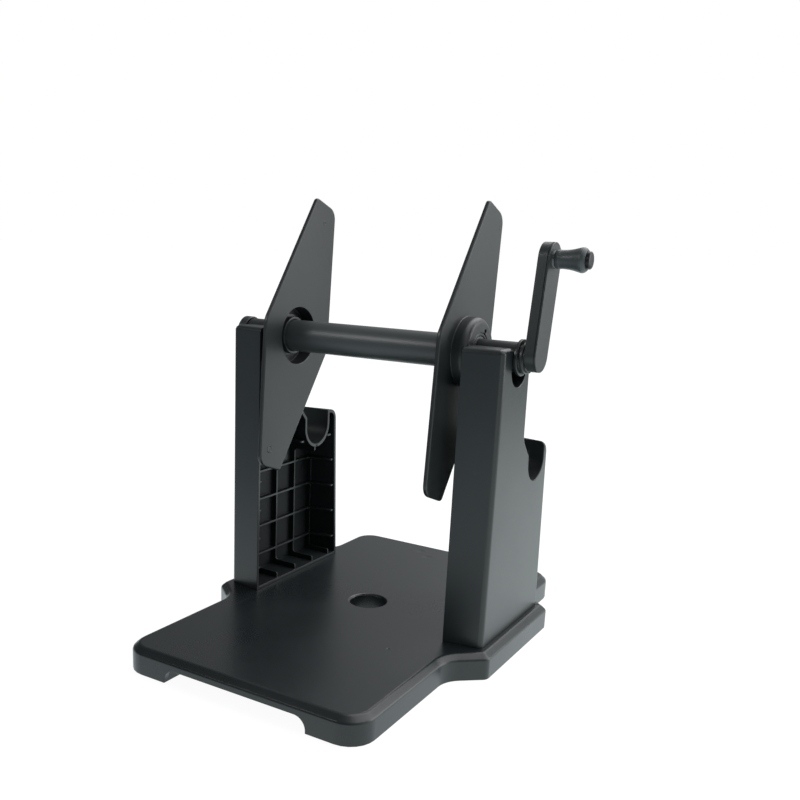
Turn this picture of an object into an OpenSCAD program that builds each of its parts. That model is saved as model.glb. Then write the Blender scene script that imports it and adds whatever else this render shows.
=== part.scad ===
// Hand cranked rewinder for label rolls: a moulded base, two ribbed uprights
// with open seats, and a spindle with two sliding flanges, a crank and a knob.
// X runs along the spindle, the crank is at +X, the front of the base is at -Y.
// The origin is on the axis of the round hole in the base, on the bench plane.

/* [Base] */
// Width of the base plate between its long sides
base_w = 180; // [178:0.5:184]
// Depth of the base plate, front to back
base_d = 301; // [280:1:320]
// Height of the base plate's top above the bench
base_h = 18; // [17:0.25:19]
// Radius of the base plate's corners, seen from above
base_corner_r = 16.9; // [10:0.1:22]
// Width of the bevel round the top edge, seen from above
bevel_w = 4.3; // [2:0.1:5]
// Height of that bevel
bevel_h = 3.7; // [2:0.1:5]
// Wall of the base plate's skirt and top
base_wall = 4; // [3:0.25:4.5]
// Distance from the spindle's middle to the outside of each ear
ear_x = 111.5; // [109:0.5:114]
// Rear corner of the ears, from the middle of the base
ear_rear_y = 79; // [76:0.25:84]
// Width of the cut-out in the front skirt
notch_w = 107; // [80:1:112]
// Height of the cut-out in the front skirt
notch_h = 10; // [8:0.5:11]
// Radius of the round hole in the base
hole_r = 13; // [10:0.1:13.5]
// Distance of that hole's axis behind the middle of the base
hole_y = 6.9; // [0:0.1:12]

/* [Uprights] */
// Distance from the middle to the open rim of each upright
rim_x = 77.3; // [77.2:0.1:79]
// Distance from the middle to the outer face of each upright
face_x = 104; // [103:0.25:104]
// Height of the top of the uprights' columns
column_top = 212.3; // [212:0.1:216]
// Height of the low shelf behind each column
shelf_z = 142.9; // [141:0.1:146]
// Wall of the uprights
up_wall = 2.5; // [2:0.1:3]
// Radius of the edge round each upright's outer face
edge_r = 4; // [2:0.1:4.5]
// Thickness of the stiffening ribs
rib_t = 1.6; // [1.2:0.1:2.4]
// Height of the ribs above the wall they stand on
rib_h = 4; // [2.5:0.25:6]
// Radius of the round bottom of the lower notch
low_r = 14.3; // [13:0.1:14.8]
// Radius of the relief under the top seat
relief_r = 12.4; // [11:0.1:12.8]

/* [Spindle] */
// Height of the spindle's axis
axis_z = 206.2; // [206:0.1:207]
// Spindle axis, in front of (-) or behind (+) the middle of the base
axis_y = 3.5; // [2.5:0.1:4.5]
// Radius of the tube that carries the roll's core
tube_r = 11; // [10.5:0.05:11.1]
// Radius of the steel journals
journal_r = 8; // [7.5:0.05:8]
// Running clearance between turning parts, on the radius
clear = 0.06; // [0.03:0.01:0.09]

/* [Crank] */
// Distance from the spindle's axis to the knob's axis
throw = 61; // [50:0.5:70]
// Angle by which the crank leans back from upright
crank_lean = 9.3; // [-30:0.1:30]
// Radius of the crank arm's round ends
arm_r = 10.7; // [9.5:0.1:11]
// Thickness of the crank arm
arm_t = 7.5; // [5:0.25:8]
// Largest radius of the knob
knob_r = 7.6; // [6.8:0.1:9]

/* [Flanges] */
// Length of each flange, tip to tip
flange_len = 194; // [160:1:194]
// Width of each flange at the middle, before rounding
flange_w = 80.4; // [70:0.2:84]
// Width of each flange's tips
tip_w = 25; // [20:0.5:40]
// Thickness of the flange plate
flange_t = 3; // [2.5:0.25:4]
// Distance from the middle to each flange's roll side when fully open
flange_x = 64.2; // [40:0.1:64.2]
// Angle by which the flanges are turned from upright
flange_turn = 19.3; // [-90:0.1:90]
// Angle by which the right flange is turned further than the left one
right_extra = 1.2; // [-90:0.1:90]
// Outer radius of the flange's hub
hub_r = 22.8; // [20:0.1:26]

/* [Hidden] */
$fn = 96;
eps = 0.01;

plastic = [0.11, 0.12, 0.13];
plastic2 = [0.16, 0.17, 0.18];
rubber_c = [0.05, 0.05, 0.055];
steel_c = [0.72, 0.73, 0.75];
brass_c = [0.78, 0.62, 0.28];

skirt_z = 0.3;                 // the skirt clears the bench by this much
post_x = 90.5;                 // screw posts under each upright
post_y = [-6, 60];
post_r = 5.5;
foot_xy = [[-74, -134], [74, -134], [-74, 134], [74, 134]];
seat_r = 9.5 + clear;          // round seat for a bush
lip_z = axis_z - 6.7;          // the seat ends here, over the relief
relief_z = axis_z - 6.6;       // centre of the round relief under the bush
relief_y = axis_y + 1.5;
low_y = 50;                    // lower seat
low_z = shelf_z - 10.5;
knob_y = axis_y + throw * sin(crank_lean);
knob_z = axis_z + throw * cos(crank_lean);
hub_end = flange_x + 12.7;     // outer end of the flange's hub
ring_r = 13.1;                 // bore of the flange's end wall
arm_x = 110.7;                 // inner face of the crank's arm
groove_x = arm_x + arm_t - 1.5;
hub_round = 4.4;               // rounding of the hub's outer end
low_u = 2.4;                   // centre of the arm's lower round end, along the arm

// ---------- outline helpers ----------
function dir(p, q) = (q - p) / norm(q - p);
function left_of(u) = [-u[1], u[0]];
function spin2(w, a) = [w[0] * cos(a) - w[1] * sin(a), w[0] * sin(a) + w[1] * cos(a)];

// Corner points of outline P (counter-clockwise) moved inwards by d
function inset(P, d) = let (n = len(P)) [for (i = [0:n - 1])
    let (b = P[i], u = dir(P[(i + n - 1) % n], b), v = dir(b, P[(i + 1) % n]),
         nu = left_of(u), nv = left_of(v))
    b + (nu + nv) * d / (1 + nu * nv)];

// Outline P with each corner i rounded to the radius R[i], in steps arcs
function rounded(P, R, steps) = let (n = len(P)) [for (i = [0:n - 1])
    let (b = P[i], u = dir(P[(i + n - 1) % n], b), v = dir(b, P[(i + 1) % n]),
         turn = atan2(u[0] * v[1] - u[1] * v[0], u * v), s = sign(turn),
         p0 = b - u * R[i] * tan(abs(turn) / 2),
         w = -s * left_of(u) * R[i], c = p0 - w)
    for (j = [0:steps]) c + spin2(w, turn * j / steps)];

// True where corner i of P turns left, so is an outer corner
function outer_corner(P, i) = let (n = len(P), b = P[i], u = dir(P[(i + n - 1) % n], b),
    v = dir(b, P[(i + 1) % n])) u[0] * v[1] - u[1] * v[0] > 0;

// Rounded outline of P moved inwards by d: outer corners lose d, inner ones gain it
function ring_at(P, R, d, steps) = rounded(inset(P, d),
    [for (i = [0:len(P) - 1]) outer_corner(P, i) ? max(R[i] - d, 0.15) : R[i] + d], steps);

// Closed solid through rings of the same number of points, each at its own height.
// Point c sees the whole of every ring, so the two ends are fans round it.
module stacked(rings, heights, c) {
    m = len(rings[0]);
    k = len(rings);
    low = k * m;
    high = k * m + 1;
    polyhedron(
        points = concat([for (j = [0:k - 1]) for (p = rings[j]) [p[0], p[1], heights[j]]],
            [[c[0], c[1], heights[0]], [c[0], c[1], heights[k - 1]]]),
        faces = concat([for (i = [0:m - 1]) [low, i, (i + 1) % m]],
            [for (i = [0:m - 1]) [high, (k - 1) * m + (i + 1) % m, (k - 1) * m + i]],
            [for (j = [0:k - 2]) for (i = [0:m - 1]) [j * m + i, (j + 1) * m + i, (j + 1) * m + (i + 1) % m]],
            [for (j = [0:k - 2]) for (i = [0:m - 1]) [j * m + i, (j + 1) * m + (i + 1) % m, j * m + (i + 1) % m]]));
}

// Puts the frame's origin on the axis of the base's hole
module placed() { translate([0, -hole_y, 0]) children(); }
// Round bar along X from x0 to x1 at (y, z)
module bar(x0, x1, r, y = axis_y, z = axis_z) {
    translate([x0, y, z]) rotate([0, 90, 0]) cylinder(h = x1 - x0, r = r);
}
// Box given by its lowest and highest corners
module block(a, b) { translate(a) cube(b - a); }
// Profile in (r, x) turned round the line at (y, z) along X
module turned(points, y = axis_y, z = axis_z) {
    translate([0, y, z]) rotate([0, 90, 0]) rotate_extrude() polygon(points);
}

// ---------- base ----------
ear_slope = tan(40);
function ear_front_y(x) = -38 + (x - 98) * ear_slope;
base_half = [[base_w / 2, -base_d / 2], [base_w / 2, ear_front_y(base_w / 2)],
    [ear_x, ear_front_y(ear_x)], [ear_x, ear_rear_y],
    [base_w / 2, ear_rear_y + (ear_x - base_w / 2) * ear_slope], [base_w / 2, base_d / 2]];
half_radii = [base_corner_r, 20, 6, 4, 20, base_corner_r];
base_outline = concat(base_half, [for (i = [5:-1:0]) [-base_half[i][0], base_half[i][1]]]);
base_radii = concat(half_radii, [for (i = [5:-1:0]) half_radii[i]]);

module base_solid() {
    stacked([ring_at(base_outline, base_radii, 0, 6), ring_at(base_outline, base_radii, 0, 6),
        ring_at(base_outline, base_radii, bevel_w, 6)], [skirt_z, base_h - bevel_h, base_h], [0, 20]);
}

module base_plate() {
    top_z = base_h - base_wall;
    ch = notch_w / 2;
    color(plastic) difference() {
        union() {
            difference() {
                base_solid();
                translate([0, 0, -1]) linear_extrude(top_z + 1)
                    polygon(ring_at(base_outline, base_radii, base_wall, 4));
            }
            // walls on both sides of the channel that runs back from the cut-out
            for (s = [-1, 1]) block([s * (ch + 1.75) - 1.75, -base_d / 2 + 2, skirt_z],
                [s * (ch + 1.75) + 1.75, base_d / 2 - 2, top_z + 1]);
            // low cross ribs under the top
            for (y = [-100, -50, 50, 100]) block([-base_w / 2 + 3, y - 1.25, notch_h], [base_w / 2 - 3, y + 1.25, top_z + 1]);
            // tube round the hole, which stands on the bench
            translate([0, hole_y, 0]) cylinder(h = top_z + 1, r = hole_r + 3.5);
            // sockets for the uprights' posts
            for (s = [-1, 1], y = post_y) translate([s * post_x, y, skirt_z]) cylinder(h = top_z, r = post_r + 3.6);
            // pads over the feet
            for (p = foot_xy) translate([p[0], p[1], 1.5]) cylinder(h = top_z - 1, r = 10.5);
        }
        // hole with a bevelled mouth
        translate([0, hole_y, -1]) cylinder(h = base_h + 2, r = hole_r);
        translate([0, hole_y, base_h - 1.3]) cylinder(h = 1.31, r1 = hole_r, r2 = hole_r + 1.31);
        // cut-out in the front skirt
        block([-ch + 8, -base_d / 2 - 1, -1], [ch - 8, -base_d / 2 + base_wall + 1, notch_h]);
        block([-ch, -base_d / 2 - 1, -1], [ch, -base_d / 2 + base_wall + 1, notch_h - 8]);
        for (s = [-1, 1]) translate([s * (ch - 8), -base_d / 2 - 1, notch_h - 8])
            rotate([-90, 0, 0]) cylinder(h = base_wall + 2, r = 8);
        // post sockets and screw holes
        for (s = [-1, 1], y = post_y) translate([s * post_x, y, 0]) {
            translate([0, 0, 7]) cylinder(h = base_h, r = post_r + 0.15);
            translate([0, 0, -1]) cylinder(h = 10, r = 2.2);
            translate([0, 0, -1]) cylinder(h = 5, r = 4.3);
        }
        // foot recesses
        for (p = foot_xy) translate([p[0], p[1], -1]) {
            cylinder(h = 4, r = 8.1);
            cylinder(h = 9.2, r = 2.6);
        }
    }
}

module rubber_feet() {
    color(rubber_c) for (p = foot_xy) translate([p[0], p[1], 0]) {
        cylinder(h = 0.6, r1 = 7.4, r2 = 8);
        translate([0, 0, 0.6]) cylinder(h = 2.4, r = 8);
        translate([0, 0, 2.5]) cylinder(h = 5.5, r = 2.6);
    }
}

// ---------- uprights ----------
// Side outline of an upright as (y, z); its foot is drawn low and cut off at the base's top
// Front wall from (f0, base_h) to (f1, column_top), rear wall from (r0, base_h) to (r1, shelf_z),
// rear of the column at c. The walls have draft, so the rim is larger than the outer face.
function slope(a, b, z) = (b - a) / (z - base_h);
function side_outline(f0, f1, r0, r1, c) = [
    [f0 - 10 * slope(f0, f1, column_top), base_h - 10], [r0 - 10 * slope(r0, r1, shelf_z), base_h - 10],
    [r1, shelf_z], [60, shelf_z], [37, shelf_z - 4], [c + 1.4, shelf_z + 8], [c, column_top], [f1, column_top]];
side_radii = [0.5, 0.5, 8, 0.6, 0.6, 7, 3.5, 3.5];
face_f = [-22.6, -21.2];
face_b = [78, 71.7];
rim_f = [face_f[0] - 3.4, face_f[1] - 3.4];
rim_b = [face_b[0] + 4.4, face_b[1] + 4.4];
rim_outline = side_outline(rim_f[0], rim_f[1], rim_b[0], rim_b[1], 24.8);
face_outline = side_outline(face_f[0], face_f[1], face_b[0], face_b[1], 24.8);

// Maps an outline in (y, z) and a height x to the row's axes
module sideways() { rotate([90, 0, 90]) children(); }

module upright_outer() {
    steps = 5;
    intersection() {
        sideways() stacked(
            concat([ring_at(rim_outline, side_radii, 0, 6)],
                [for (i = [0:steps]) ring_at(face_outline, side_radii, edge_r * (1 - cos(90 * i / steps)), 6)]),
            concat([rim_x], [for (i = [0:steps]) face_x - edge_r + edge_r * sin(90 * i / steps)]), [0, 100]);
        block([rim_x - 1, -60, base_h], [face_x + 1, 120, column_top + 1]);
    }
}

// Flat rib in the (a, x) plane: a low strip along the outer wall, and a strip of
// the same height that climbs the end wall from a0 to b0, or from a1 to b1 at the rim
module rib_plate(a0, a1, b0, b1, g0, g1) {
    low = face_x - up_wall - rib_h;
    top = rim_x + 1.2;
    polygon(concat(
        g0 ? [[a0 + rib_h + 1.5, low], [a0 + rib_h, low - 1.5], [b0 + rib_h, top + 1], [b0 + rib_h - 1, top], [b0 - 0.5, top]] : [[a0 - 0.5, low]],
        [[a0 - 0.5, face_x - up_wall + 0.5], [a1 + 0.5, face_x - up_wall + 0.5]],
        g1 ? [[b1 + 0.5, top], [b1 - rib_h + 1, top], [b1 - rib_h, top + 1], [a1 - rib_h, low - 1.5], [a1 - rib_h - 1.5, low]] : [[a1 + 0.5, low]]));
}
module rib_level(z, y0, y1, z0 = undef, z1 = undef) {
    // polygon x is the row's Y, polygon y is the row's X
    translate([0, 0, z - rib_t / 2]) mirror([1, -1, 0]) linear_extrude(rib_t)
        rib_plate(y0, y1, is_undef(z0) ? y0 : z0, is_undef(z1) ? y1 : z1, true, true);
}
module rib_upright(y, z0, z1, g0 = true, g1 = false) {
    // polygon x is the row's Z, polygon y is the row's X
    translate([0, y + rib_t / 2, 0]) multmatrix([[0, 1, 0, 0], [0, 0, -1, 0], [1, 0, 0, 0]])
        linear_extrude(rib_t) rib_plate(z0, z1, z0, z1, g0, g1);
}
function in_front(z, f = face_f) = f[0] + (z - base_h) * slope(f[0], f[1], column_top) + up_wall;
function in_rear(z, b = face_b) = b[0] + (z - base_h) * slope(b[0], b[1], shelf_z) - up_wall;

module right_upright_solid() {
    difference() {
        union() {
            difference() {
                upright_outer();
                // hollow, open on the rim side, closed below by the bottom wall
                translate([rim_x - 1, 0, 0]) intersection() {
                    sideways() stacked([ring_at(rim_outline, side_radii, up_wall, 4), ring_at(rim_outline, side_radii, up_wall, 4),
                        ring_at(face_outline, side_radii, up_wall + 0.4, 4)], [0, 1, face_x - up_wall - rim_x + 1], [0, 100]);
                    block([-1, -60, base_h + up_wall], [60, 120, column_top]);
                }
            }
            intersection() {
                upright_outer();
                union() {
                    // walls of the lower notch
                    bar(rim_x, face_x - 1, low_r + up_wall, low_y, low_z);
                    block([rim_x, low_y - low_r - up_wall, low_z], [face_x - 1, low_y + low_r + up_wall, shelf_z + 12]);
                    // seat block and walls of the top notch
                    bar(rim_x, face_x - 1, relief_r + up_wall, relief_y, relief_z);
                    block([rim_x, relief_y - relief_r - up_wall, relief_z], [face_x - 1, relief_y + relief_r + up_wall, column_top + 1]);
                    // level ribs
                    for (z = [34.3, 57, 78.7, 100.6]) rib_level(z, in_front(z), in_rear(z), in_front(z, rim_f), in_rear(z, rim_b));
                    rib_level(122, in_front(122), low_y - low_r - up_wall, in_front(122, rim_f));
                    block([rim_x + 1.2, low_y + low_r + up_wall - 0.5, 122 - rib_t / 2],
                        [face_x - 2, in_rear(122) + 1, 122 + rib_t / 2]);
                    for (z = [143, 165]) rib_level(z, in_front(z), 21.8, in_front(z, rim_f));
                    // upright ribs
                    rib_upright(1.2, base_h + up_wall, relief_z - relief_r - up_wall);
                    rib_upright(25.1, base_h + up_wall, 146);
                    rib_upright(48.9, base_h + up_wall, low_z - low_r - up_wall, true, true);
                    rib_upright(72, base_h + up_wall, shelf_z - up_wall);
                }
            }
            // posts that stand in the base
            for (y = post_y) translate([post_x, y, 7.3]) cylinder(h = base_h + 1 - 7.3, r = post_r);
        }
        // lower notch: round bottom and straight mouth
        bar(rim_x - 1, face_x + 1, low_r, low_y, low_z);
        block([rim_x - 1, low_y - low_r, low_z], [face_x + 1, low_y + low_r, shelf_z + 12]);
        // top notch: relief, seat and straight mouth
        intersection() {
            bar(rim_x - 1, face_x + 1, relief_r, relief_y, relief_z);
            block([rim_x - 2, relief_y - 20, relief_z - 20], [face_x + 2, relief_y + 20, lip_z]);
        }
        bar(rim_x - 1, face_x + 1, seat_r);
        block([rim_x - 1, axis_y - seat_r, axis_z], [face_x + 1, axis_y + seat_r, column_top + 2]);
        // screw holes in the posts
        for (y = post_y) translate([post_x, y, 0]) cylinder(h = base_h - 0.5, r = 1.9);
    }
}
module right_upright() { color(plastic) right_upright_solid(); }
module left_upright() { color(plastic) mirror([1, 0, 0]) right_upright_solid(); }

module upright_screws() {
    color(steel_c) for (s = [-1, 1], y = post_y) translate([s * post_x, y, 0]) difference() {
        union() {
            translate([0, 0, 1.4]) cylinder(h = 2.6, r = 3.9);
            translate([0, 0, 3.9]) cylinder(h = 13, r = 1.9);
        }
        translate([0, 0, 1.3]) cylinder(h = 1.6, r = 2.1, $fn = 6);
    }
}

// ---------- spindle ----------
module left_bush() {
    color(plastic2) difference() {
        bar(-104.8, -77, 9.5);
        bar(-106, -76, journal_r + clear);
    }
}
module right_bush() {
    color(plastic2) turned([[journal_r + clear, 77], [9.5, 77], [9.5, 104.3], [11, 104.3],
        [11.5, 104.8], [11.5, 106.1], [11, 106.6], [journal_r + clear, 106.6]]);
}
module stiffener_core() {
    color(steel_c) difference() {
        bar(-105.1, 107.3, journal_r);
        bar(-106, 108, 6);
    }
}
module spindle_tube() {
    color(plastic) difference() {
        turned([[0, -76.5], [tube_r - 0.5, -76.5], [tube_r, -76], [tube_r, 76], [tube_r - 0.5, 76.5], [0, 76.5]]);
        bar(-78, 78, journal_r);
    }
}
module left_end_disc() {
    color(plastic) difference() {
        union() {
            turned([[0, -112], [9.9, -112], [10.7, -111.2], [10.7, -105.7], [10.2, -105.2], [0, -105.2]]);
            bar(-105.3, -92, 6);
        }
        bar(-113, -106.4, 6.1);
        bar(-107, -91, 3.1);
    }
}
module tie_bolt() {
    color(steel_c) difference() {
        union() {
            turned([[0, -111.6], [4.6, -111.6], [5, -111.2], [5, -107.4], [0, -107.4]]);
            bar(-107.5, 104, 3);
        }
        translate([-112, axis_y, axis_z]) rotate([0, 90, 0]) cylinder(h = 3, r = 2.6, $fn = 6);
    }
}
module tie_bolt_washer() {
    color(steel_c) difference() {
        bar(-107.4, -106.4, 5.8);
        bar(-108, -106, 3.1);
    }
}

// ---------- crank ----------
module crank_arm() {
    color(plastic) difference() {
        union() {
            bar(107.4, 109.3, 9.9);
            bar(109.2, 111, 9);
            bar(94, 107.5, 6);
            // arm: its round ends are a little off the two axes
            translate([arm_x, axis_y, axis_z]) rotate([-crank_lean, 0, 0]) {
                for (u = [low_u, throw - 0.6]) bar(0, arm_t, arm_r, 0, u);
                block([0, -arm_r, low_u], [arm_t, arm_r, throw - 0.6]);
            }
        }
        bar(93, 106.4, 4.5);
        bar(110, 120, 3, knob_y, knob_z);
        // fine groove round the arm between its side and its outer face
        translate([groove_x, axis_y, axis_z]) rotate([-crank_lean, 0, 0]) difference() {
            union() {
                for (u = [low_u, throw - 0.6]) bar(0, 0.9, arm_r + 1, 0, u);
                block([0, -arm_r - 1, low_u], [0.9, arm_r + 1, throw - 0.6]);
            }
            for (u = [low_u, throw - 0.6]) bar(-1, 2, arm_r - 0.5, 0, u);
            block([-1, -arm_r + 0.5, low_u], [2, arm_r - 0.5, throw - 0.6]);
        }
    }
}
module crank_insert() {
    color(brass_c) difference() {
        bar(94.4, 106, 4.5);
        bar(94, 107, 3);
    }
}
module knob_pin() {
    color(steel_c) {
        bar(108.9, 138.5, 3, knob_y, knob_z);
        turned([[0, 138.4], [5.3, 138.4], [5.3, 140.1], [4.8, 140.6], [3.6, 140.9], [0, 140.9]], knob_y, knob_z);
    }
}
module pin_push_nut() {
    color(steel_c) difference() {
        bar(109.4, arm_x, 5.5, knob_y, knob_z);
        bar(109, 112, 3, knob_y, knob_z);
    }
}
module knob_washer() {
    color(steel_c) difference() {
        bar(arm_x + arm_t, arm_x + arm_t + 0.6, 5.2, knob_y, knob_z);
        bar(111, 120, 3.1, knob_y, knob_z);
    }
}
module knob() {
    k = knob_r;
    color(plastic) turned([[3 + clear, 119], [5.4, 119], [5.8, 119.4], [5.8, 124], [6, 127.5],
        [6.5, 130.5], [k - 0.4, 133.2], [k, 134.8], [k, 136], [k - 0.5, 137.2], [k - 1.3, 138],
        [k - 1.9, 138.3], [3 + clear, 138.3]], knob_y, knob_z);
}

// ---------- flanges ----------
half_l = flange_len / 2;
flange_outline = [[-half_l, -tip_w / 2], [0, -flange_w / 2], [half_l, -tip_w / 2],
    [half_l, tip_w / 2], [0, flange_w / 2], [-half_l, tip_w / 2]];
flange_radii = [9, 12, 3, 9, 12, 3];

module right_flange_solid(slot_turn, turn) {
    difference() {
        union() {
            translate([flange_x, axis_y, axis_z]) rotate([-turn, 0, 0]) rotate([0, -90, 0])
                translate([0, 0, -flange_t]) linear_extrude(flange_t)
                polygon(rounded(flange_outline, flange_radii, 8));
            turned(concat([[0, flange_x + 1], [hub_r, flange_x + 1]],
                [for (i = [0:6]) [hub_r - hub_round * (1 - cos(15 * i)), hub_end - hub_round * (1 - sin(15 * i))]],
                [[0, hub_end]]));
        }
        bar(flange_x - 1, hub_end - 2.4, hub_r - 2.6);
        bar(flange_x, hub_end + 1, ring_r);
        // relief slots round the bore
        for (i = [0:2]) translate([flange_x + 5, axis_y, axis_z]) rotate([slot_turn + 120 * i, 0, 0]) {
            block([0, 0, -0.9], [12, 15.4, 0.9]);
            bar(0, 12, 1.4, 15.2, 0);
        }
    }
}
module right_flange() { color(plastic) right_flange_solid(63, flange_turn + right_extra); }
module left_flange() { color(plastic) mirror([1, 0, 0]) right_flange_solid(55, flange_turn); }

module right_ring_solid() {
    turned([[tube_r + clear, hub_end - 9], [ring_r, hub_end - 9], [ring_r, hub_end - 4.6], [15.2, hub_end - 4.6],
        [15.2, hub_end - 2.5], [ring_r, hub_end - 2.5], [ring_r, hub_end - 0.2], [tube_r + clear, hub_end - 0.2]]);
}
module right_grip_ring() { color(rubber_c) right_ring_solid(); }
module left_grip_ring() { color(rubber_c) mirror([1, 0, 0]) right_ring_solid(); }

placed() base_plate();
placed() rubber_feet();
placed() left_upright();
placed() right_upright();
placed() upright_screws();
placed() left_bush();
placed() right_bush();
placed() stiffener_core();
placed() spindle_tube();
placed() left_end_disc();
placed() tie_bolt();
placed() tie_bolt_washer();
placed() crank_arm();
placed() crank_insert();
placed() knob_pin();
placed() pin_push_nut();
placed() knob_washer();
placed() knob();
placed() left_flange();
placed() right_flange();
placed() left_grip_ring();
placed() right_grip_ring();
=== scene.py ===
import bpy
import bmesh
import math
import numpy as np
from mathutils import Matrix, Vector


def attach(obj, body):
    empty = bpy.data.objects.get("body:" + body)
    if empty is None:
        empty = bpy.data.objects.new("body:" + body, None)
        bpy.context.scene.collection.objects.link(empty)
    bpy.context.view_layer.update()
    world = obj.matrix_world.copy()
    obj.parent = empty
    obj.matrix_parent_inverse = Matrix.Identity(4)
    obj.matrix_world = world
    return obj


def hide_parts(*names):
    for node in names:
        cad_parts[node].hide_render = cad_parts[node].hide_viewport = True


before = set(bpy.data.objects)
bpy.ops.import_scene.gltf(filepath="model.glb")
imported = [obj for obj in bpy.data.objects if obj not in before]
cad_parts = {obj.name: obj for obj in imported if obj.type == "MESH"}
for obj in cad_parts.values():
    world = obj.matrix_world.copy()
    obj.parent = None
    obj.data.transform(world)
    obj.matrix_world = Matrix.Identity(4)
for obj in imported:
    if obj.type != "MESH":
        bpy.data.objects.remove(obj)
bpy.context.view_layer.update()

MM = 0.001
# Spindle axis and knob axis in the row frame, in mm
AX_Y, AX_Z = -3.4, 206.2
LEAN = math.radians(9.3)
KN_Y, KN_Z = AX_Y + 61 * math.sin(LEAN), AX_Z + 61 * math.cos(LEAN)


# ---------------------------------------------------------------- materials
class Nodes:
    """Small helper that adds and joins the nodes of one material."""

    def __init__(self, name):
        self.mat = bpy.data.materials.new(name)
        self.mat.use_nodes = True
        self.tree = self.mat.node_tree
        self.tree.nodes.clear()
        self.out = self.tree.nodes.new("ShaderNodeOutputMaterial")
        self.coord = self.tree.nodes.new("ShaderNodeTexCoord")

    def add(self, kind, **values):
        node = self.tree.nodes.new(kind)
        for key, value in values.items():
            if key.startswith("p_"):
                setattr(node, key[2:], value)
            else:
                node.inputs[key.replace("_", " ")].default_value = value
        return node

    def join(self, a, b):
        self.tree.links.new(a, b)

    def noise(self, scale, detail=3.0, rough=0.5, stretch=None, distortion=0.0):
        source = self.coord.outputs["Object"]
        if stretch is not None:
            m = self.add("ShaderNodeMapping")
            m.inputs["Scale"].default_value = stretch
            self.join(source, m.inputs["Vector"])
            source = m.outputs["Vector"]
        n = self.add("ShaderNodeTexNoise", Scale=scale, Detail=detail, Roughness=rough, Distortion=distortion)
        self.join(source, n.inputs["Vector"])
        return n.outputs["Fac"]

    def ramp(self, fac, stops):
        r = self.add("ShaderNodeValToRGB")
        el = r.color_ramp.elements
        while len(el) < len(stops):
            el.new(0.5)
        for e, (pos, col) in zip(el, stops):
            e.position = pos
            e.color = (*col, 1) if len(col) == 3 else col
        self.join(fac, r.inputs["Fac"])
        return r.outputs["Color"]

    def span(self, fac, lo, hi, a=0.0, b=1.0):
        m = self.add("ShaderNodeMapRange")
        m.inputs["From Min"].default_value = a
        m.inputs["From Max"].default_value = b
        m.inputs["To Min"].default_value = lo
        m.inputs["To Max"].default_value = hi
        self.join(fac, m.inputs["Value"])
        return m.outputs["Result"]

    def math(self, op, a, b):
        m = self.add("ShaderNodeMath", p_operation=op)
        for i, v in enumerate((a, b)):
            if isinstance(v, (int, float)):
                m.inputs[i].default_value = v
            else:
                self.join(v, m.inputs[i])
        return m.outputs[0]

    def bump(self, height, distance, strength=1.0, normal=None):
        b = self.add("ShaderNodeBump", Strength=strength, Distance=distance)
        self.join(height, b.inputs["Height"])
        if normal is not None:
            self.join(normal, b.inputs["Normal"])
        return b.outputs["Normal"]

    def mix(self, fac, a, b):
        m = self.add("ShaderNodeMix", p_data_type="RGBA")
        for socket, v in ((m.inputs[0], fac), (m.inputs[6], a), (m.inputs[7], b)):
            if isinstance(v, (int, float)):
                socket.default_value = v
            elif isinstance(v, tuple):
                socket.default_value = (*v, 1)
            else:
                self.join(v, socket)
        return m.outputs[2]


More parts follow.
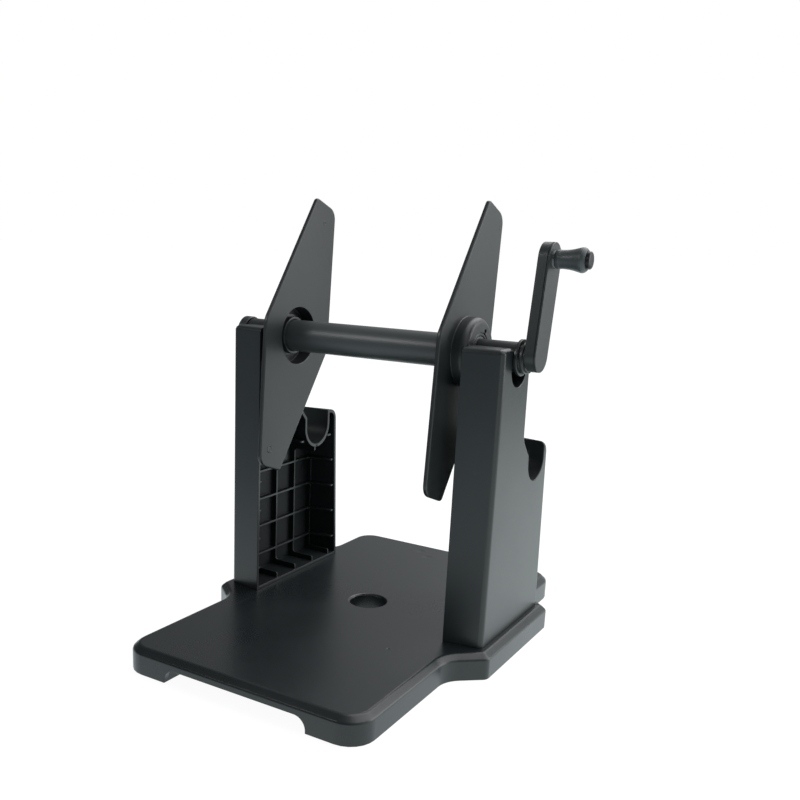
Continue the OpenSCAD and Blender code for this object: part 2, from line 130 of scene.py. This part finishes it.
def plastic(name, base, rough=(0.26, 0.36), ior=1.5, grain=0.000012, wave=0.00003, dust=0.35, rings=(), dents=()):
    """Moulded black plastic: fine spark grain, faint sink waves, hair scratches and a little dust.
    rings are the marks of ejector pins and dents are gate or sink marks, bumped in and painted darker towards the
    middle as painted shade of the hollow: (x, y, z, radius) in mm, in the frame."""
    n = Nodes(name)
    cloud = n.noise(9.0, 4.0, 0.55)
    speck = n.noise(1400.0, 2.0, 0.6)
    grain_f = n.noise(5200.0, 2.0, 0.6)
    flow = n.noise(16.0, 2.0, 0.4, stretch=(1.0, 1.0, 0.45))
    hair = n.noise(240.0, 2.0, 0.7, stretch=(1.0, 0.06, 1.0), distortion=0.4)
    hair2 = n.noise(260.0, 2.0, 0.7, stretch=(1.0, 1.0, 0.05), distortion=0.4)
    scratch = n.math("MAXIMUM", n.span(hair, 0.0, 1.0, 0.72, 0.8), n.span(hair2, 0.0, 1.0, 0.72, 0.8))
    dark = tuple(c * 0.82 for c in base)
    light = tuple(min(1.0, c * 1.22) for c in base)
    col = n.ramp(cloud, [(0.3, dark), (0.7, light)])
    dusty = n.math("MULTIPLY", n.span(speck, 0.0, 1.0, 0.69, 0.78), n.span(cloud, 0.1, dust, 0.35, 0.65))
    col = n.mix(dusty, col, (0.16, 0.155, 0.15))
    col = n.mix(n.math("MULTIPLY", scratch, 0.10), col, (0.11, 0.11, 0.112))
    b = n.add("ShaderNodeBsdfPrincipled", IOR=ior)
    r = n.span(n.math("ADD", n.math("MULTIPLY", cloud, 0.7), n.math("MULTIPLY", speck, 0.3)), rough[0], rough[1], 0.35, 0.65)
    r = n.math("ADD", r, n.math("MULTIPLY", scratch, 0.07))
    r = n.math("ADD", r, n.math("MULTIPLY", dusty, 0.2))
    n.join(r, b.inputs["Roughness"])
    nrm = n.bump(flow, wave, 1.0)
    nrm = n.bump(grain_f, grain, 1.0, nrm)
    for kind, marks in (("ring", rings), ("dent", dents)):
        for x, y, z, radius in marks:
            d = n.add("ShaderNodeVectorMath", p_operation="DISTANCE")
            n.join(n.coord.outputs["Object"], d.inputs[0])
            d.inputs[1].default_value = (x * MM, y * MM, z * MM)
            away = d.outputs["Value"]
            if kind == "ring":
                away = n.math("ABSOLUTE", n.math("SUBTRACT", away, radius * MM), 0.0)
                h = n.span(away, 1.0, 0.0, 0.0, 0.0005)
                nrm = n.bump(h, 0.00025, 1.0, nrm)
            else:
                h = n.span(away, 0.0, 1.0, 0.0, radius * MM)
                nrm = n.bump(h, 0.00035, 1.0, nrm)
                # painted shade: the colour goes darker towards the dent's middle, standing in for the shade in the
                # hollow
                col = n.mix(n.span(away, 0.45, 0.0, 0.0, radius * MM), col, tuple(c * 0.35 for c in base))
    n.join(col, b.inputs["Base Color"])
    n.join(nrm, b.inputs["Normal"])
    n.join(b.outputs[0], n.out.inputs["Surface"])
    return n.mat


def rubber(name):
    n = Nodes(name)
    cloud = n.noise(60.0, 4.0, 0.6)
    fine = n.noise(3200.0, 3.0, 0.6)
    col = n.ramp(cloud, [(0.3, (0.010, 0.010, 0.011)), (0.7, (0.020, 0.020, 0.021))])
    col = n.mix(n.span(fine, 0.0, 0.35, 0.6, 0.8), col, (0.05, 0.05, 0.05))
    b = n.add("ShaderNodeBsdfPrincipled", IOR=1.48)
    n.join(col, b.inputs["Base Color"])
    n.join(n.span(cloud, 0.55, 0.75, 0.3, 0.7), b.inputs["Roughness"])
    n.join(n.bump(fine, 0.00003), b.inputs["Normal"])
    n.join(b.outputs[0], n.out.inputs["Surface"])
    return n.mat


def metal(name, base, rough=(0.18, 0.34), along=(0.03, 1.0, 1.0)):
    """Drawn or turned metal: lines along or round the part and faint stains."""
    n = Nodes(name)
    lines = n.noise(900.0, 3.0, 0.6, stretch=along)
    cloud = n.noise(70.0, 4.0, 0.6)
    dark = tuple(c * 0.72 for c in base)
    col = n.ramp(n.math("ADD", n.math("MULTIPLY", lines, 0.6), n.math("MULTIPLY", cloud, 0.4)),
                 [(0.32, dark), (0.66, base)])
    b = n.add("ShaderNodeBsdfPrincipled", Metallic=1.0)
    n.join(col, b.inputs["Base Color"])
    n.join(n.span(n.math("ADD", n.math("MULTIPLY", lines, 0.5), n.math("MULTIPLY", cloud, 0.5)),
                  rough[0], rough[1], 0.35, 0.65), b.inputs["Roughness"])
    n.join(n.bump(lines, 0.00002), b.inputs["Normal"])
    n.join(b.outputs[0], n.out.inputs["Surface"])
    return n.mat


MATS = {
    "black_plastic": plastic("black_plastic", (0.0100, 0.0140, 0.0155), rough=(0.27, 0.37)),
    # its dents carry painted shade, darker towards their middles
    "base_plastic": plastic("base_plastic", (0.0095, 0.0130, 0.0145), rough=(0.25, 0.35),
                            dents=[(-22.6, 124.6, 18, 4.5), (-10.4, 114.2, 18, 4.5), (53.8, -64.0, 18, 1.2)]),
    "flange_plastic": plastic("flange_plastic", (0.0135, 0.0170, 0.0180), rough=(0.30, 0.40),
                              rings=[(-64.2, -36.4, 128.7, 2.4), (-64.2, 26.4, 284.9, 1.2), (67.2, 38.1, 285.2, 1.2)]),
    "crank_plastic": plastic("crank_plastic", (0.0150, 0.0190, 0.0200), rough=(0.32, 0.42)),
    "knob_plastic": plastic("knob_plastic", (0.0350, 0.0425, 0.0445), rough=(0.34, 0.44)),
    "tube_plastic": plastic("tube_plastic", (0.0450, 0.0510, 0.0530), rough=(0.35, 0.43), grain=0.000006),
    "bush_plastic": plastic("bush_plastic", (0.0125, 0.0155, 0.0165), rough=(0.28, 0.38)),
    # painted shade: the inside's darker base colour stands in for the shade inside the uprights' hollows
    "shell_inside_painted_shade": plastic("shell_inside_painted_shade", (0.0062, 0.0090, 0.0100), rough=(0.48, 0.60), ior=1.32, dust=0.2),
    "rubber": rubber("rubber"),
    "grip_rubber": plastic("grip_rubber", (0.0200, 0.0240, 0.0255), rough=(0.22, 0.32), grain=0.000004),
    "steel": metal("steel", (0.62, 0.62, 0.63)),
    "dark_steel": metal("dark_steel", (0.035, 0.036, 0.038), rough=(0.30, 0.42)),
    "brass": metal("brass", (0.72, 0.52, 0.22)),
}


# ---------------------------------------------------------------- mesh helpers
def link(name, mesh):
    o = bpy.data.objects.new(name, mesh)
    bpy.context.scene.collection.objects.link(o)
    return o


def piece(name, bm, body, slot, nodes, mat=None, angle=35.0):
    """Turns a finished bmesh into a smooth-shaded piece of the part."""
    bmesh.ops.recalc_face_normals(bm, faces=bm.faces)
    me = bpy.data.meshes.new(name)
    bm.to_mesh(me)
    bm.free()
    me.materials.append(MATS[mat or slot])
    me.shade_smooth()
    me.set_sharp_from_angle(angle=math.radians(angle))
    o = link(name, me)
    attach(o, body)
    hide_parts(*nodes)
    return o


def fillet(points, radii, steps=5):
    """Rounds the corners of a closed profile; a radius of 0 keeps the corner."""
    out = []
    n = len(points)
    for i in range(n):
        p = np.array(points[i], float)
        a = np.array(points[i - 1], float)
        c = np.array(points[(i + 1) % n], float)
        r = radii[i] if hasattr(radii, "__len__") else radii
        u = (a - p) / np.linalg.norm(a - p)
        v = (c - p) / np.linalg.norm(c - p)
        cosang = float(np.clip(u @ v, -1, 1))
        ang = math.acos(cosang)
        if r <= 0 or ang > math.radians(176):
            out.append(tuple(p))
            continue
        t = r / math.tan(ang / 2)
        t = min(t, 0.48 * np.linalg.norm(a - p), 0.48 * np.linalg.norm(c - p))
        r = t * math.tan(ang / 2)
        mid = (u + v) / np.linalg.norm(u + v)
        centre = p + mid * r / math.sin(ang / 2)
        s = p + u * t - centre
        e = p + v * t - centre
        sweep = math.pi - ang
        sgn = 1 if s[0] * e[1] - s[1] * e[0] > 0 else -1
        for k in range(steps + 1):
            w = sgn * sweep * k / steps
            out.append(tuple(centre + np.array([s[0] * math.cos(w) - s[1] * math.sin(w),
                                                s[0] * math.sin(w) + s[1] * math.cos(w)])))
    return out


def lathe(bm, points, radii=0.0, y=AX_Y, z=AX_Z, turns=128, steps=5):
    """Revolves a closed profile of (r, x) in mm round the line along X at (y, z)."""
    prof = fillet(points, radii, steps)
    rings = []
    for r, x in prof:
        if r < 1e-6:
            v = bm.verts.new((x * MM, y * MM, z * MM))
            rings.append([v])
        else:
            rings.append([bm.verts.new((x * MM, (y + r * math.cos(2 * math.pi * k / turns)) * MM,
                                        (z + r * math.sin(2 * math.pi * k / turns)) * MM)) for k in range(turns)])
    for a, b in zip(rings, rings[1:] + rings[:1]):
        if len(a) == 1 and len(b) == 1:
            continue
        for k in range(turns):
            m = (k + 1) % turns
            if len(a) == 1:
                bm.faces.new((a[0], b[k], b[m]))
            elif len(b) == 1:
                bm.faces.new((a[k], a[m], b[0]))
            else:
                bm.faces.new((a[k], a[m], b[m], b[k]))
    return bm


def whole_faces(bm, limit=0.6):
    """Joins the triangles of each flat face that has no hole in it. A face with a hole stays in triangles."""
    cos = math.cos(math.radians(limit))
    done = set()
    joins = []
    bm.faces.ensure_lookup_table()
    for seed in sorted(bm.faces, key=lambda f: -f.calc_area()):
        if seed in done:
            continue
        region, stack = {seed}, [seed]
        done.add(seed)
        while stack:
            for e in stack.pop().edges:
                if len(e.link_faces) != 2:
                    continue
                for g in e.link_faces:
                    if g not in done and g.normal.dot(seed.normal) > cos:
                        done.add(g)
                        region.add(g)
                        stack.append(g)
        if len(region) < 2:
            continue
        edges = {e for f in region for e in f.edges}
        verts = {v for f in region for v in f.verts}
        border = [e for e in edges if sum(1 for f in e.link_faces if f in region) == 1]
        meets = {}
        for e in border:
            for v in e.verts:
                meets[v] = meets.get(v, 0) + 1
        if len(verts) - len(edges) + len(region) == 1 and all(n == 2 for n in meets.values()):
            joins.append(list(region))
    for region in joins:
        bmesh.ops.dissolve_faces(bm, faces=region, use_verts=False)
    bmesh.ops.dissolve_limit(bm, angle_limit=math.radians(limit), verts=bm.verts, edges=[])


def cad_mesh(node):
    """Welded copy of a CAD node's mesh with its flat faces whole again."""
    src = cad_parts[node].data
    me = bpy.data.meshes.new(node + "_work")
    me.from_pydata([v.co[:] for v in src.vertices], [], [p.vertices[:] for p in src.polygons])
    bm = bmesh.new()
    bm.from_mesh(me)
    bpy.data.meshes.remove(me)
    bmesh.ops.remove_doubles(bm, verts=bm.verts, dist=3e-6)
    bmesh.ops.dissolve_degenerate(bm, dist=2e-6, edges=bm.edges)
    whole_faces(bm)
    return bm


def to_mesh(bm, name):
    me = bpy.data.meshes.new(name)
    bm.to_mesh(me)
    bm.free()
    return me


def cut(bm, cutters):
    """bm less the given closed solids, with the exact boolean."""
    o = link("cut_target", to_mesh(bm, "cut_target"))
    tools = []
    for c in cutters:
        t = link("cut_tool", to_mesh(c, "cut_tool"))
        tools.append(t)
        m = o.modifiers.new("cut", "BOOLEAN")
        m.operation = "DIFFERENCE"
        m.solver = "EXACT"
        m.object = t
    deps = bpy.context.evaluated_depsgraph_get()
    done = bpy.data.meshes.new_from_object(o.evaluated_get(deps))
    out = bmesh.new()
    out.from_mesh(done)
    for t in tools + [o]:
        old = t.data
        bpy.data.objects.remove(t)
        bpy.data.meshes.remove(old)
    bpy.data.meshes.remove(done)
    return out


def bevelled(bm, width, weight=None, limit=28.0, segments=3, narrow=False):
    """bm with its sharp edges rounded; weight(mid, edge) scales the width of one edge.
    narrow keeps each bevel under half the depth of the narrower face beside it."""
    me = to_mesh(bm, "bevel_work")
    o = link("bevel_work", me)
    att = me.attributes.new("bevel_weight_edge", "FLOAT", "EDGE")
    tmp = bmesh.new()
    tmp.from_mesh(me)
    tmp.edges.ensure_lookup_table()
    values = np.zeros(len(tmp.edges), np.float32)
    for i, e in enumerate(tmp.edges):
        if len(e.link_faces) == 2 and e.calc_face_angle(0.0) > math.radians(limit):
            mid = (e.verts[0].co + e.verts[1].co) / 2 / MM
            values[i] = 1.0 if weight is None else weight(mid, e)
            if narrow:
                depth = min(f.calc_area() for f in e.link_faces) / max(e.calc_length(), 1e-9) / MM
                values[i] = min(values[i], 0.36 * depth / width)
                if values[i] * width < 0.06:
                    values[i] = 0.0
    tmp.free()
    att.data.foreach_set("value", values)
    m = o.modifiers.new("bevel", "BEVEL")
    m.limit_method = "WEIGHT"
    m.width = width * MM
    m.segments = segments
    m.use_clamp_overlap = False
    m.miter_outer = "MITER_ARC"
    m.harden_normals = False
    m.loop_slide = False
    deps = bpy.context.evaluated_depsgraph_get()
    done = bpy.data.meshes.new_from_object(o.evaluated_get(deps))
    out = bmesh.new()
    out.from_mesh(done)
    bpy.data.objects.remove(o)
    bpy.data.meshes.remove(me)
    bpy.data.meshes.remove(done)
    return out


def weigh(o):
    """Keeps flat faces flat in the shading beside rounded edges."""
    m = o.modifiers.new("weighted", "WEIGHTED_NORMAL")
    m.weight = 100
    m.keep_sharp = True
    return o


def report(name, bm):
    bad = sum(1 for e in bm.edges if not e.is_manifold)
    bm.faces.index_update()
    tri = {}
    for a, b, c in bm.calc_loop_triangles():
        n = (b.vert.co - a.vert.co).cross(c.vert.co - a.vert.co) / 2
        tri[a.face.index] = tri.get(a.face.index, 0.0) + n.length
    odd = sum(1 for f in bm.faces if abs(tri.get(f.index, 0.0) - f.calc_area()) > 1e-6 + 0.01 * f.calc_area())
    print(f"MESH {name}: {len(bm.faces)} faces, {bad} open or non-manifold edges, {odd} badly filled")


# ---------------------------------------------------------------- uprights
def flare(outline, x0, r, sign, steps=6):
    """Cutter that rounds the edge of a notch where it meets the outer face.
    outline is the notch's closed outline as (y, z) in mm, anticlockwise."""
    P = np.array(outline, float)
    n = len(P)
    d1 = P - np.roll(P, 1, 0)
    d2 = np.roll(P, -1, 0) - P
    d1 /= np.linalg.norm(d1, axis=1)[:, None]
    d2 /= np.linalg.norm(d2, axis=1)[:, None]
    t = d1 + d2
    t /= np.linalg.norm(t, axis=1)[:, None]
    nrm = np.stack([t[:, 1], -t[:, 0]], 1)
    bm = bmesh.new()
    rings = []
    for k in range(steps + 2):
        if k == steps + 1:
            x, off = x0 + r + 1.0, r
        else:
            a = math.radians(90 * k / steps)
            x, off = x0 + r * math.sin(a), r * (1 - math.cos(a)) - 0.02
        q = P + nrm * off
        rings.append([bm.verts.new((sign * x * MM, yy * MM, zz * MM)) for yy, zz in q])
    for a, b in zip(rings, rings[1:]):
        for i in range(n):
            j = (i + 1) % n
            bm.faces.new((a[i], a[j], b[j], b[i]))
    bm.faces.new(rings[0])
    bm.faces.new(rings[-1][::-1])
    bmesh.ops.recalc_face_normals(bm, faces=bm.faces)
    return bm


def arc(cy, cz, r, a0, a1, n):
    return [(cy + r * math.cos(math.radians(a0 + (a1 - a0) * i / n)),
             cz + r * math.sin(math.radians(a0 + (a1 - a0) * i / n))) for i in range(n + 1)]


LOW_Y, LOW_Z = 50 - 6.9, 132.4
low_outline = [(LOW_Y - 14.3, 153.0)] + arc(LOW_Y, LOW_Z, 14.3, 180, 360, 40) + [(LOW_Y + 14.3, 153.0)]
top_outline = ([(AX_Y - 8.2, 216.0), (AX_Y - 8.2, 201.5)] + arc(AX_Y + 1.5, 199.6, 12.4, 188, 352, 36)
               + [(AX_Y + 8.2, 201.5), (AX_Y + 8.2, 216.0)])


def inner_faces(bm, sign):
    """Gives the hollow, the notches and the rib flanks the matt finish of the mould's core side, in a darker colour
    that is painted shade of the hollow.
    """
    bm.faces.ensure_lookup_table()
    for f in bm.faces:
        c = f.calc_center_median() / MM
        x = c.x * sign
        front = -29.5 - 3.4 * (104 - x) / 26.7 + (c.z - 18) * 0.0072
        rear = 71.1 + 4.4 * (104 - x) / 26.7 - (c.z - 18) * 0.0504
        if c.z > 143:
            rear = 17.9
        deep = c.y > front + 1.6 and c.y < rear - 1.6 and c.z < 211 and 78.3 < x < 102.3
        rib_top = abs(f.normal.x) > 0.9 and x < 98.6
        if deep and not rib_top:
            f.material_index = 1


for side, sign in (("right", 1), ("left", -1)):
    bm = cad_mesh(side + "_upright")
    bm = cut(bm, [flare(low_outline, 103.25, 0.75, sign), flare(top_outline, 103.4, 0.6, sign)])
    bmesh.ops.remove_doubles(bm, verts=bm.verts, dist=2e-6)
    whole_faces(bm)
    report(side + "_upright before bevel", bm)
    bm = bevelled(bm, 0.45, segments=2, narrow=True)
    report(side + "_upright", bm)
    inner_faces(bm, sign)
    shell = piece(side + "_upright_shell", bm, "stand", "black_plastic", [side + "_upright"])
    # second material: the inside faces in painted shade
    shell.data.materials.append(MATS["shell_inside_painted_shade"])
    weigh(shell)


# ---------------------------------------------------------------- base
def base_weight(mid, e):
    if mid.z > 14.2 and (mid.x ** 2 + mid.y ** 2) ** 0.5 > 16:
        return 1.0
    return 0.4


bm = bevelled(cad_mesh("base_plate"), 1.1, base_weight, limit=22.0)
report("base_plate", bm)
weigh(piece("base_shell", bm, "stand", "black_plastic", ["base_plate"], mat="base_plastic"))

# ---------------------------------------------------------------- flanges
def flange_weight(mid, e):
    return 1.0 if math.hypot(mid.y - AX_Y, mid.z - AX_Z) > 26 else 0.5


for side in ("left", "right"):
    bm = bevelled(cad_mesh(side + "_flange"), 1.0, flange_weight, segments=4)
    report(side + "_flange", bm)
    weigh(piece(side + "_flange_plate", bm, side + "_slider", "flange_plastic", [side + "_flange"]))
    s = 1 if side == "right" else -1
    bm = lathe(bmesh.new(), [(11.06, s * 67.9), (13.1, s * 67.9), (13.1, s * 72.3), (15.2, s * 72.3), (15.2, s * 74.4),
                             (13.1, s * 74.4), (13.1, s * 76.7), (11.06, s * 76.7)],
               [0.7, 0.3, 0, 0.4, 0.4, 0, 0.7, 0.7])
    piece(side + "_grip", bm, side + "_slider", "rubber", [side + "_grip_ring"], mat="grip_rubber")

# ---------------------------------------------------------------- crank
def crank_weight(mid, e):
    if mid.x > 118.0:
        return 0.55
    return 0.0 if mid.x > 116.4 else 0.5


bm = bevelled(cad_mesh("crank_arm"), 0.8, crank_weight, segments=4)
report("crank_arm", bm)
weigh(piece("crank", bm, "spindle", "crank_plastic", ["crank_arm"]))

bm = lathe(bmesh.new(), [(3.06, 119), (5.4, 119), (5.8, 119.5), (5.8, 121.6), (5.66, 121.9), (5.66, 124), (5.95, 127.5),
                         (6.5, 130.5), (7.2, 133.2), (7.6, 134.8), (7.6, 136), (7.1, 137.2), (6.3, 138), (5.7, 138.3),
                         (3.06, 138.3)],
           [0.1, 0.2, 0.2, 0.12, 0.12, 3, 6, 6, 3, 1, 1, 1.5, 1, 0.3, 0.1], KN_Y, KN_Z)
piece("knob_grip", bm, "crank_knob", "crank_plastic", ["knob"], mat="knob_plastic")

# ---------------------------------------------------------------- spindle
bm = lathe(bmesh.new(), [(8.0, -76.5), (11.0, -76.5), (11.0, 76.5), (8.0, 76.5)], [0.2, 0.6, 0.6, 0.2])
piece("tube", bm, "spindle", "tube_plastic", ["spindle_tube"])
bm = lathe(bmesh.new(), [(8.06, -104.8), (9.5, -104.8), (9.5, -77), (8.06, -77)], [0.3, 0.4, 0.4, 0.3])
piece("bush_left", bm, "bearings", "bush_plastic", ["left_bush"])
bm = lathe(bmesh.new(), [(8.06, 77), (9.5, 77), (9.5, 104.3), (11.5, 104.3), (11.5, 106.6), (8.06, 106.6)],
           [0.3, 0.4, 0.3, 0.5, 0.5, 0.3])
piece("bush_right", bm, "bearings", "bush_plastic", ["right_bush"])

# ---------------------------------------------------------------- CAD nodes that stay
keep = {"rubber_feet": "rubber", "upright_screws": "steel", "stiffener_core": "steel", "left_end_disc": "crank_plastic",
        "tie_bolt": "steel", "tie_bolt_washer": "steel", "crank_insert": "brass", "knob_pin": "dark_steel",
        "pin_push_nut": "steel", "knob_washer": "steel"}
for name, mat in keep.items():
    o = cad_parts[name]
    o.data.materials.clear()
    o.data.materials.append(MATS[mat])

# ---------------------------------------------------------------- stage
floor_mesh = bpy.data.meshes.new("floor")
bm = bmesh.new()
bmesh.ops.create_grid(bm, x_segments=1, y_segments=1, size=25.0)
bm.to_mesh(floor_mesh)
bm.free()
floor = link("floor", floor_mesh)
fm = bpy.data.materials.new("floor_white")
fm.use_nodes = True
ft = fm.node_tree
ft.nodes.clear()
fo = ft.nodes.new("ShaderNodeOutputMaterial")
# seen by the camera: white paper that glows a little and keeps a faint shadow
pale = ft.nodes.new("ShaderNodeBsdfDiffuse")
pale.inputs["Color"].default_value = (0.86, 0.865, 0.87, 1)
glow = ft.nodes.new("ShaderNodeEmission")
glow.inputs["Strength"].default_value = 1.1
seen = ft.nodes.new("ShaderNodeMixShader")
seen.inputs["Fac"].default_value = 0.86
ft.links.new(pale.outputs[0], seen.inputs[1])
ft.links.new(glow.outputs[0], seen.inputs[2])
# seen by the object: bright to the right and behind, dim in front, like a sweep lit from there
fc = ft.nodes.new("ShaderNodeTexCoord")
fdot = ft.nodes.new("ShaderNodeVectorMath")
fdot.operation = "DOT_PRODUCT"
fdot.inputs[1].default_value = (0.85, 0.53, 0.0)
ft.links.new(fc.outputs["Object"], fdot.inputs[0])
fr = ft.nodes.new("ShaderNodeMapRange")
for key, value in (("From Min", -1.0), ("From Max", 1.5), ("To Min", 0.0), ("To Max", 1.0)):
    fr.inputs[key].default_value = value
ft.links.new(fdot.outputs["Value"], fr.inputs["Value"])
fc2 = ft.nodes.new("ShaderNodeValToRGB")
stops = ((-0.9, (0.28, 0.31, 0.33)), (-0.6, (0.42, 0.47, 0.50)), (-0.3, (0.80, 0.90, 0.95)), (0.0, (1.0, 1.1, 1.12)),
         (0.2, (1.30, 1.42, 1.42)), (0.5, (1.25, 1.36, 1.36)), (0.8, (0.80, 0.87, 0.87)), (1.2, (0.42, 0.46, 0.46)))
ce = fc2.color_ramp.elements
while len(ce) < len(stops):
    ce.new(0.5)
for e, (pos, col) in zip(ce, stops):
    e.position = (pos + 1.0) / 2.5
    e.color = tuple(c / 1.5 for c in col) + (1.0,)
ft.links.new(fr.outputs["Result"], fc2.inputs["Fac"])
lit = ft.nodes.new("ShaderNodeEmission")
lit.inputs["Strength"].default_value = 1.5
ft.links.new(fc2.outputs["Color"], lit.inputs["Color"])
fl = ft.nodes.new("ShaderNodeLightPath")
both = ft.nodes.new("ShaderNodeMixShader")
ft.links.new(fl.outputs["Is Camera Ray"], both.inputs["Fac"])
ft.links.new(lit.outputs[0], both.inputs[1])
ft.links.new(seen.outputs[0], both.inputs[2])
ft.links.new(both.outputs[0], fo.inputs["Surface"])
floor_mesh.materials.append(fm)
floor.location = (0, 0, -0.0002)

world = bpy.data.worlds.new("studio")
bpy.context.scene.world = world
world.use_nodes = True
wt = world.node_tree
wt.nodes.clear()
wo = wt.nodes.new("ShaderNodeOutputWorld")
wc = wt.nodes.new("ShaderNodeTexCoord")
wd = wt.nodes.new("ShaderNodeVectorMath")
wd.operation = "DOT_PRODUCT"
wd.inputs[1].default_value = (0.62, 0.55, 0.56)
wt.links.new(wc.outputs["Generated"], wd.inputs[0])
wr = wt.nodes.new("ShaderNodeMapRange")
wr.interpolation_type = "SMOOTHSTEP"
for key, value in (("From Min", -0.1), ("From Max", 0.95), ("To Min", 0.14), ("To Max", 0.85)):
    wr.inputs[key].default_value = value
wt.links.new(wd.outputs["Value"], wr.inputs["Value"])
bg = wt.nodes.new("ShaderNodeBackground")
bg.inputs["Color"].default_value = (0.95, 0.98, 1.0, 1)
wt.links.new(wr.outputs["Result"], bg.inputs["Strength"])
cam_bg = wt.nodes.new("ShaderNodeBackground")
cam_bg.inputs["Color"].default_value = (1.0, 1.0, 1.0, 1)
cam_bg.inputs["Strength"].default_value = 1.0
mixn = wt.nodes.new("ShaderNodeMixShader")
path = wt.nodes.new("ShaderNodeLightPath")
wt.links.new(path.outputs["Is Camera Ray"], mixn.inputs["Fac"])
wt.links.new(bg.outputs[0], mixn.inputs[1])
wt.links.new(cam_bg.outputs[0], mixn.inputs[2])
wt.links.new(mixn.outputs[0], wo.inputs["Surface"])


def area(name, where, at, size, power, size_y=None):
    light = bpy.data.lights.new(name, "AREA")
    light.energy = power
    light.size = size
    light.shape = "RECTANGLE"
    light.size_y = size_y or size
    o = bpy.data.objects.new(name, light)
    bpy.context.scene.collection.objects.link(o)
    o.location = where
    o.rotation_euler = (Vector(at) - Vector(where)).to_track_quat("-Z", "Y").to_euler()
    return o


def sun(name, towards, strength, angle):
    light = bpy.data.lights.new(name, "SUN")
    light.energy = strength
    light.angle = math.radians(angle)
    o = bpy.data.objects.new(name, light)
    bpy.context.scene.collection.objects.link(o)
    o.location = (0.4, 0.3, 0.8)
    o.rotation_euler = Vector(towards).to_track_quat("-Z", "Y").to_euler()
    return o


sun("sky_soft", (-0.35, -0.35, -1.0), 1.2, 60)
area("key_right_back", (1.1, 0.75, 0.45), (0.05, 0.0, 0.1), 0.9, 7)
area("top_back", (0.1, 0.9, 1.1), (0.0, 0.0, 0.1), 1.0, 6)
front = area("front_left_high", (-0.55, -0.80, 0.80), (0.0, 0.0, 0.215), 0.40, 0.10, size_y=0.26)
front.data.spread = math.radians(26)


# ---------------------------------------------------------------- camera
a, b, r = math.radians(30.8), math.radians(14.68), math.radians(2.24)
fwd = Vector((-math.sin(a) * math.cos(b), math.cos(a) * math.cos(b), -math.sin(b)))
right = Vector((math.cos(a), math.sin(a), 0))
up = right.cross(fwd)
rv = right * math.cos(r) + up * math.sin(r)
uv = up * math.cos(r) - right * math.sin(r)
cam_data = bpy.data.cameras.new("camera")
cam = bpy.data.objects.new("camera", cam_data)
bpy.context.scene.collection.objects.link(cam)
m = Matrix((rv, uv, -fwd)).transposed().to_4x4()
m.translation = Vector((0.31548, -0.54253, 0.26851))
cam.matrix_world = m
cam_data.sensor_fit = "HORIZONTAL"
cam_data.sensor_width = 36.0
cam_data.lens = 911.25 / 800 * 36.0
cam_data.shift_x = (400 - 363.06) / 800
cam_data.shift_y = (486.95 - 400) / 800
cam_data.clip_start = 0.02
cam_data.clip_end = 30
bpy.context.scene.camera = cam

vs = bpy.context.scene.view_settings
vs.view_transform = "Standard"
vs.look = "None"
vs.exposure = 0.0
vs.gamma = 1.0
